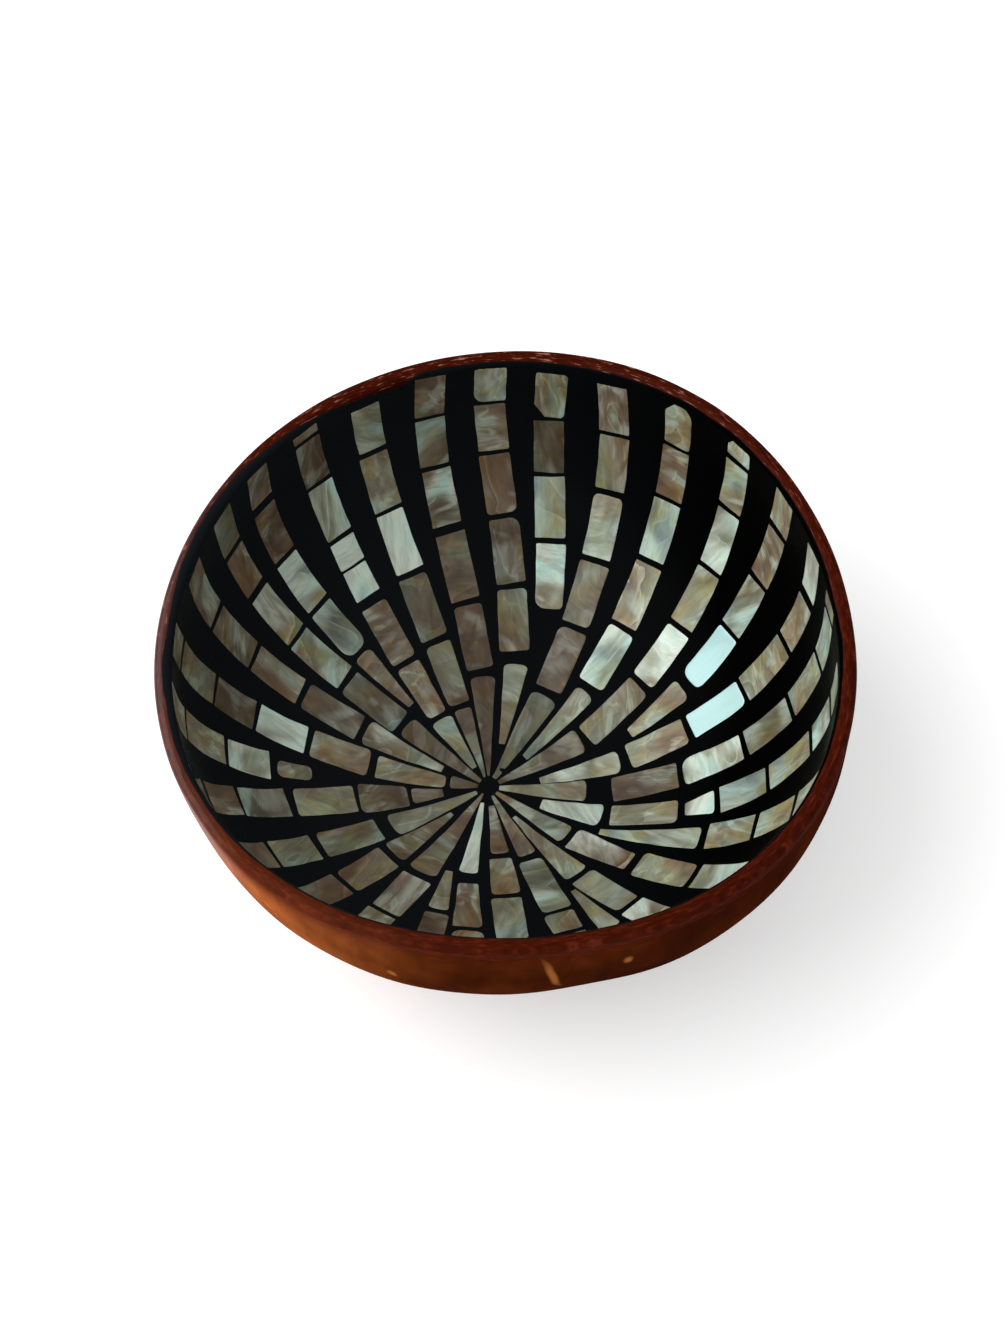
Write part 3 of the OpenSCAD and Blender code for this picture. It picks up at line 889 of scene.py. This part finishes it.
class BOWL_OT_pearl(bpy.types.Operator):
    """Cuts the rows of tiles from the places of the solids, and gives each its own cast."""

    bl_idname = "bowl.pearl"
    bl_label = "Mother-of-pearl rows"

    def execute(self, context):
        settings = context.scene.bowl_pearl
        material = mother_of_pearl(context.scene.bowl_finish)
        for number, node in enumerate(ROW_NODES, start=1):
            build_row(settings, number, node, material)
        return {"FINISHED"}


def solid_islands(node):
    """The separate solids of a node, each as an array of its own points."""
    form = bmesh.new()
    form.from_mesh(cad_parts[node].data)
    bmesh.ops.remove_doubles(form, verts=form.verts, dist=SAME_POINT)
    left = set(form.verts)
    islands = []
    while left:
        reach = [left.pop()]
        island = list(reach)
        while reach:
            for edge in reach.pop().link_edges:
                for v in edge.verts:
                    if v in left:
                        left.remove(v)
                        reach.append(v)
                        island.append(v)
        islands.append(np.array([v.co[:] for v in island]))
    form.free()
    return islands


def face_corners(points):
    """A tile's four corners on the unrolled face: outer pair, then inner pair, going round."""
    way, run, depth = face_place(points)
    top = depth > FACE_IN - TOP_REACH
    flat = np.stack([run[top] * np.cos(way[top]), run[top] * np.sin(way[top])], axis=-1)
    middle = (flat.max(0) + flat.min(0)) / 2
    outwards = middle - BOWL_R * np.array(MEET_SHARES)
    outwards /= np.hypot(*outwards)
    x = (flat - middle) @ outwards
    y = (flat - middle) @ np.array([-outwards[1], outwards[0]])
    x = (x - (x.max() + x.min()) / 2) / (x.max() - x.min())
    y = (y - (y.max() + y.min()) / 2) / (y.max() - y.min())
    return flat[[np.argmax(x - y), np.argmax(x + y), np.argmax(y - x), np.argmax(-x - y)]]


def build_row(settings, number, node, material):
    """One row of tiles, from the rim inwards, joined to one piece."""
    tiles = [face_corners(points) for points in solid_islands(node)]
    tiles.sort(key=lambda corners: -np.hypot(*corners.mean(0)))
    parts = []
    for place, corners in enumerate(tiles, start=1):
        dice = random.Random(settings.seed * 10007 + number * 101 + place)
        parts.append(build_tile(settings, number, place, corners, dice))
    deselect_all()
    for part in parts:
        part.select_set(True)
    bpy.context.view_layer.objects.active = parts[0]
    if len(parts) > 1:
        bpy.ops.object.join()
    row = bpy.context.view_layer.objects.active
    row.name = row.data.name = node + "_tiles"
    settle(row, "mother_of_pearl", material, node)


def rounded(x, y, half_x, half_y, radii, straight):
    """Moves a point of a rectangle inwards where its corners are rounded, or cut off straight."""
    radius = radii[(0 if x > 0 else 2) + (0 if y > 0 else 1)]
    in_x, in_y = abs(x) - (half_x - radius), abs(y) - (half_y - radius)
    if in_x <= 0 or in_y <= 0:
        return x, y
    pull = max(in_x, in_y) / (in_x + in_y if straight else math.hypot(in_x, in_y))
    out_x, out_y = half_x - radius + in_x * pull, half_y - radius + in_y * pull
    return math.copysign(out_x, x), math.copysign(out_y, y)


# A tile's grid: shares of a corner's radius where lines lie, and steps between the corners
CORNER_LINES = (0.0, 0.3, 0.62, 1.0)
STEPS_ALONG = 8
STEPS_ACROSS = 4

# A hand-cut edge strays over this length
STRAY_SIZE = 4 * MM


def grid_steps(half, radius, middle):
    """Places of grid lines from -half to half, close together where corners are rounded."""
    inner = half - radius
    low = [-half + radius * line for line in CORNER_LINES]
    between = [-inner + 2 * inner * k / middle for k in range(1, middle)]
    return low + between + [-v for v in reversed(low)]


def corner_radii(settings, number, place, corners, most, dice):
    """Radii of a tile's corners, up to the most that fits. Petals have a pointed inner end, and
    the tiles nearer the middle have softer corners."""
    share = float(np.hypot(*corners.mean(0))) / FACE_LEN
    if np.hypot(*(corners[2] - corners[3])) < 0.5 * np.hypot(*(corners[0] - corners[1])):
        radii = [most * dice.uniform(0.6, 1), most * dice.uniform(0.6, 1), 0.2 * most, 0.2 * most]
    else:
        soft = 2.6 if share < 0.48 else 1
        radii = [min(most, settings.corner * dice.uniform(0.4, 1.4) * soft) for _ in range(4)]
    if (number, place) in CORNER_SHARES:
        radii = [most * share for share in CORNER_SHARES[number, place]]
    return radii


def build_tile(settings, number, place, corners, dice):
    """One tile: a grid laid on its corners, rounded, bent to the face and thickened."""
    outer, inner = (corners[0] + corners[1]) / 2, (corners[2] + corners[3]) / 2
    length = float(np.hypot(*(outer - inner)))
    wide = float(np.hypot(*(corners[0] - corners[1])) + np.hypot(*(corners[2] - corners[3]))) / 2
    radii = corner_radii(settings, number, place, corners, 0.42 * min(wide, length), dice)
    xs = grid_steps(length / 2, max(radii), STEPS_ALONG)
    ys = grid_steps(wide / 2, max(radii), STEPS_ACROSS)
    bpy.ops.mesh.primitive_grid_add(x_subdivisions=len(xs) - 1, y_subdivisions=len(ys) - 1, size=1)
    tile = bpy.context.object
    grid = read_points(tile.data)
    cols = np.rint((grid[:, 0] + 0.5) * (len(xs) - 1)).astype(int)
    rows = np.rint((grid[:, 1] + 0.5) * (len(ys) - 1)).astype(int)
    flat = np.zeros((len(grid), 2))
    for k, (i, j) in enumerate(zip(cols, rows)):
        x, y = rounded(xs[i], ys[j], length / 2, wide / 2, radii, (number, place) in CUT_TILES)
        s, t = x / length + 0.5, y / wide + 0.5
        outer_side = corners[0] * (1 - t) + corners[1] * t
        inner_side = corners[3] * (1 - t) + corners[2] * t
        flat[k] = inner_side * (1 - s) + outer_side * s
        v = Vector((flat[k][0] / STRAY_SIZE, flat[k][1] / STRAY_SIZE, number * 7.3))
        flat[k] += settings.stray * np.array([noise.noise(v), noise.noise(v + Vector((0, 0, 40)))])
    way, run = np.arctan2(flat[:, 1], flat[:, 0]), np.hypot(flat[:, 0], flat[:, 1])
    laid = on_face(way, run, FACE_IN + settings.proud)
    write_points(tile.data, hand_shaped(with_lip_dents(laid)))
    paint_tile(tile.data, flat, number, place, dice)
    facing_in(tile)
    modify(tile, "SOLIDIFY", thickness=TILE_T, offset=-1)
    modify(tile, "BEVEL", width=settings.edge, segments=2, limit_method="ANGLE",
           angle_limit=math.radians(50))
    return tile


def with_lip_dents(points):
    """Points of a tile, moved with the lacquer's dents where it comes near the lip."""
    bowl = bpy.context.scene.bowl_shape
    reach = lip_path_length(bowl) - lacquer_start(bowl)
    near = np.clip((points[:, 2] - (BOWL_H - bowl.lip_round - LACQUER_FADE)) / reach, 0, 1)
    if not near.any():
        return points
    return points + (soft_dents(points, bowl.dents) - points) * near[:, None]


def facing_in(tile):
    """Turns a tile's faces towards the bowl's hollow."""
    only(tile)
    face = tile.data.polygons[0]
    towards = Vector((0, 0, BOWL_H)) - face.center
    if face.normal.dot(towards) < 0:
        bpy.ops.object.mode_set(mode="EDIT")
        bpy.ops.mesh.select_all(action="SELECT")
        bpy.ops.mesh.flip_normals()
        bpy.ops.object.mode_set(mode="OBJECT")


# A tile's own growth layers are from and to this long and this wide
LAYER_LENGTHS = (5 * MM, 9 * MM)
LAYER_WIDTHS = (3.5 * MM, 6.5 * MM)


def paint_tile(mesh, flat, number, place, dice):
    """Attributes that the pearl's finish reads: the lie of its growth layers, counted in their own
    lengths and widths, and its cast."""
    turn = dice.uniform(-0.5, 0.5) + (math.pi / 2 if dice.random() < 0.3 else 0)
    middle = flat.mean(0)
    lean = math.atan2(middle[1], middle[0]) + turn
    along = (flat - middle) @ np.array([math.cos(lean), math.sin(lean)])
    across = (flat - middle) @ np.array([-math.sin(lean), math.cos(lean)])
    length, width = dice.uniform(*LAYER_LENGTHS), dice.uniform(*LAYER_WIDTHS)
    seat = dice.uniform(0, 100)
    layers = np.stack([along / length + seat, across / width, np.full(len(flat), seat)], axis=-1)
    give_attribute(mesh, "layer_place", layers)
    cast = mesh.color_attributes.new("tile_cast", "FLOAT_COLOR", "POINT")
    value = tile_cast(number, place, middle / FACE_LEN, dice)
    cast.data.foreach_set("color", np.tile(value, len(flat)).astype(np.float32))


def tile_cast(number, place, middle, dice):
    """How bright a tile is, how green, how much painted highlight it gleams with and how clearly it shows
    folds. The light falls from both sides, so tiles away from the bowl's middle are painted brighter, most
    on the right."""
    gleam = GLEAM_SHARES.get((number, place), dice.uniform(0.0, 0.22))
    east = middle[0]
    # Painted light: tiles away from the middle are painted brighter, most on the right
    side = 0.25 * max(0.0, -east) + 0.36 * max(0.0, east)
    share = dice.uniform(0.54, 1.06)
    tint = dice.triangular(0.15, 0.85, 0.42) + (0.16 if east < 0 else 0.26) * east
    if (number, place) in PALE_TILES:
        share, tint = 0.98, max(tint, 0.5)
    tone = share * (0.94 + 0.22 * math.hypot(*middle) + side)
    if gleam > 0.5:
        tint = max(tint, 0.65)
    fold = dice.uniform(0.8, 1.0) if (number, place) in FOLDED_TILES else dice.uniform(0.1, 0.6)
    if (number, place) in BROWN_TILES:
        tone, tint, gleam = tone * 0.85, dice.uniform(0.0, 0.2), gleam * 0.4
    if (number, place) in DULL_TILES:
        tone, tint, gleam = tone * 0.75, dice.uniform(0.3, 0.6), gleam * 0.4
    return tone, tint, gleam, fold


# The stage: floor, lamps and camera

# The camera's distance from the middle of the lip, its tilt and roll, its shift to the side and
# upwards, and its focal length in the picture's pixels, with the picture's height in pixels
CAMERA_AWAY = 400 * MM
CAMERA_TILT = math.radians(58.93)
CAMERA_ROLL = math.radians(-2)
CAMERA_SIDE = -0.76 * MM
CAMERA_RISE = -8.17 * MM
FOCAL_PIXELS = 2094.4
PHOTO_TALL = 1344

# The width of a film frame, in the millimetres that a camera counts in
SENSOR = 36.0

# What the lamps point at
LAMP_AIM = Vector((0, 0, 30 * MM))


class BOWL_OT_stage(bpy.types.Operator):
    """Lays the pale floor, hangs the soft lamps and sets up the camera."""

    bl_idname = "bowl.stage"
    bl_label = "Stage"

    def execute(self, context):
        lay_floor(context.scene.bowl_finish)
        light_world()
        hang_lamp("key_lamp", place=(-0.66, 0.05, 0.7), size=1.2, power=7.8)
        hang_lamp("front_lamp", place=(-0.5, -0.6, 0.35), size=0.5, power=1.0)
        aim_camera()
        return {"FINISHED"}


def lay_floor(finish):
    """A wide matt floor, nearly white, that glows a little so that it ends in the background."""
    bpy.ops.mesh.primitive_plane_add(size=4.0, location=(0, 0, 0))
    floor = bpy.context.object
    floor.name = "floor"
    material, tree, surface = new_material("pale_floor")
    give_inputs(surface, Base_Color=finish.floor, Roughness=0.9, Specular_IOR_Level=0.0,
                Emission_Color=(1, 1, 1, 1), Emission_Strength=0.28)
    floor.data.materials.append(material)


def light_world():
    """A white world, which lights the bowl a little less than it shows."""
    world = bpy.data.worlds.new("studio")
    bpy.context.scene.world = world
    world.use_nodes = True
    tree = world.node_tree
    seen = add_node(tree, "LightPath", None, "Is Camera Ray")
    strength = add_node(tree, "MapRange", Value=seen, To_Min=0.7, To_Max=1.0)
    give_inputs(tree.nodes["Background"], Color=(1, 1, 1, 1), Strength=strength)


def hang_lamp(name, place, size, power):
    """A round soft lamp that points at the bowl, with its place and size in metres."""
    bpy.ops.object.light_add(type="AREA", location=place)
    lamp = bpy.context.object
    lamp.name = name
    lamp.data.shape = "DISK"
    lamp.data.size = size
    lamp.data.energy = power
    lamp.rotation_euler = (LAMP_AIM - Vector(place)).to_track_quat("-Z", "Y").to_euler()


def aim_camera():
    """Sets up the camera where the photograph was taken from."""
    side = Vector((1, 0, 0))
    up = Vector((0, math.sin(CAMERA_TILT), math.cos(CAMERA_TILT)))
    ahead = Vector((0, math.cos(CAMERA_TILT), -math.sin(CAMERA_TILT)))
    place = Vector((0, 0, BOWL_H)) - ahead * CAMERA_AWAY + side * CAMERA_SIDE + up * CAMERA_RISE
    right = math.cos(CAMERA_ROLL) * side + math.sin(CAMERA_ROLL) * up
    above = -math.sin(CAMERA_ROLL) * side + math.cos(CAMERA_ROLL) * up
    bpy.ops.object.camera_add()
    camera = bpy.context.object
    camera.name = "camera"
    turn = Matrix((right, above, -ahead)).transposed().to_4x4()
    camera.matrix_world = Matrix.Translation(place) @ turn
    camera.data.sensor_width = SENSOR
    camera.data.lens = FOCAL_PIXELS / PHOTO_TALL * SENSOR
    camera.data.clip_start = 10 * MM
    bpy.context.scene.camera = camera


class BOWL_PT_panel(bpy.types.Panel):
    """Lists the bowl's sizes, colours and pieces."""

    bl_idname = "BOWL_PT_panel"
    bl_label = "Inlaid coconut bowl"
    bl_space_type = "VIEW_3D"
    bl_region_type = "UI"
    bl_category = "Bowl"

    def draw(self, context):
        scene = context.scene
        for group in (scene.bowl_shape, scene.bowl_pearl, scene.bowl_finish):
            for name in group.__annotations__:
                self.layout.prop(group, name)
        for operator in OPERATORS:
            self.layout.operator(operator.bl_idname)


OPERATORS = (BOWL_OT_shell, BOWL_OT_lacquer, BOWL_OT_pearl, BOWL_OT_stage)
CLASSES = (BowlShapeSettings, PearlSettings, FinishSettings, *OPERATORS, BOWL_PT_panel)


def register():
    """Registers the classes, and ties the settings to the scene."""
    for cls in CLASSES:
        bpy.utils.register_class(cls)
    bpy.types.Scene.bowl_shape = PointerProperty(type=BowlShapeSettings)
    bpy.types.Scene.bowl_pearl = PointerProperty(type=PearlSettings)
    bpy.types.Scene.bowl_finish = PointerProperty(type=FinishSettings)


def unregister():
    """Takes back what register has done."""
    del bpy.types.Scene.bowl_finish
    del bpy.types.Scene.bowl_pearl
    del bpy.types.Scene.bowl_shape
    for cls in reversed(CLASSES):
        bpy.utils.unregister_class(cls)


def main():
    """Builds the bowl and its stage."""
    register()
    deselect_all()
    bpy.context.scene.view_settings.view_transform = "Standard"
    bpy.ops.bowl.shell()
    bpy.ops.bowl.lacquer()
    bpy.ops.bowl.pearl()
    bpy.ops.bowl.stage()


if __name__ == "__main__":
    main()
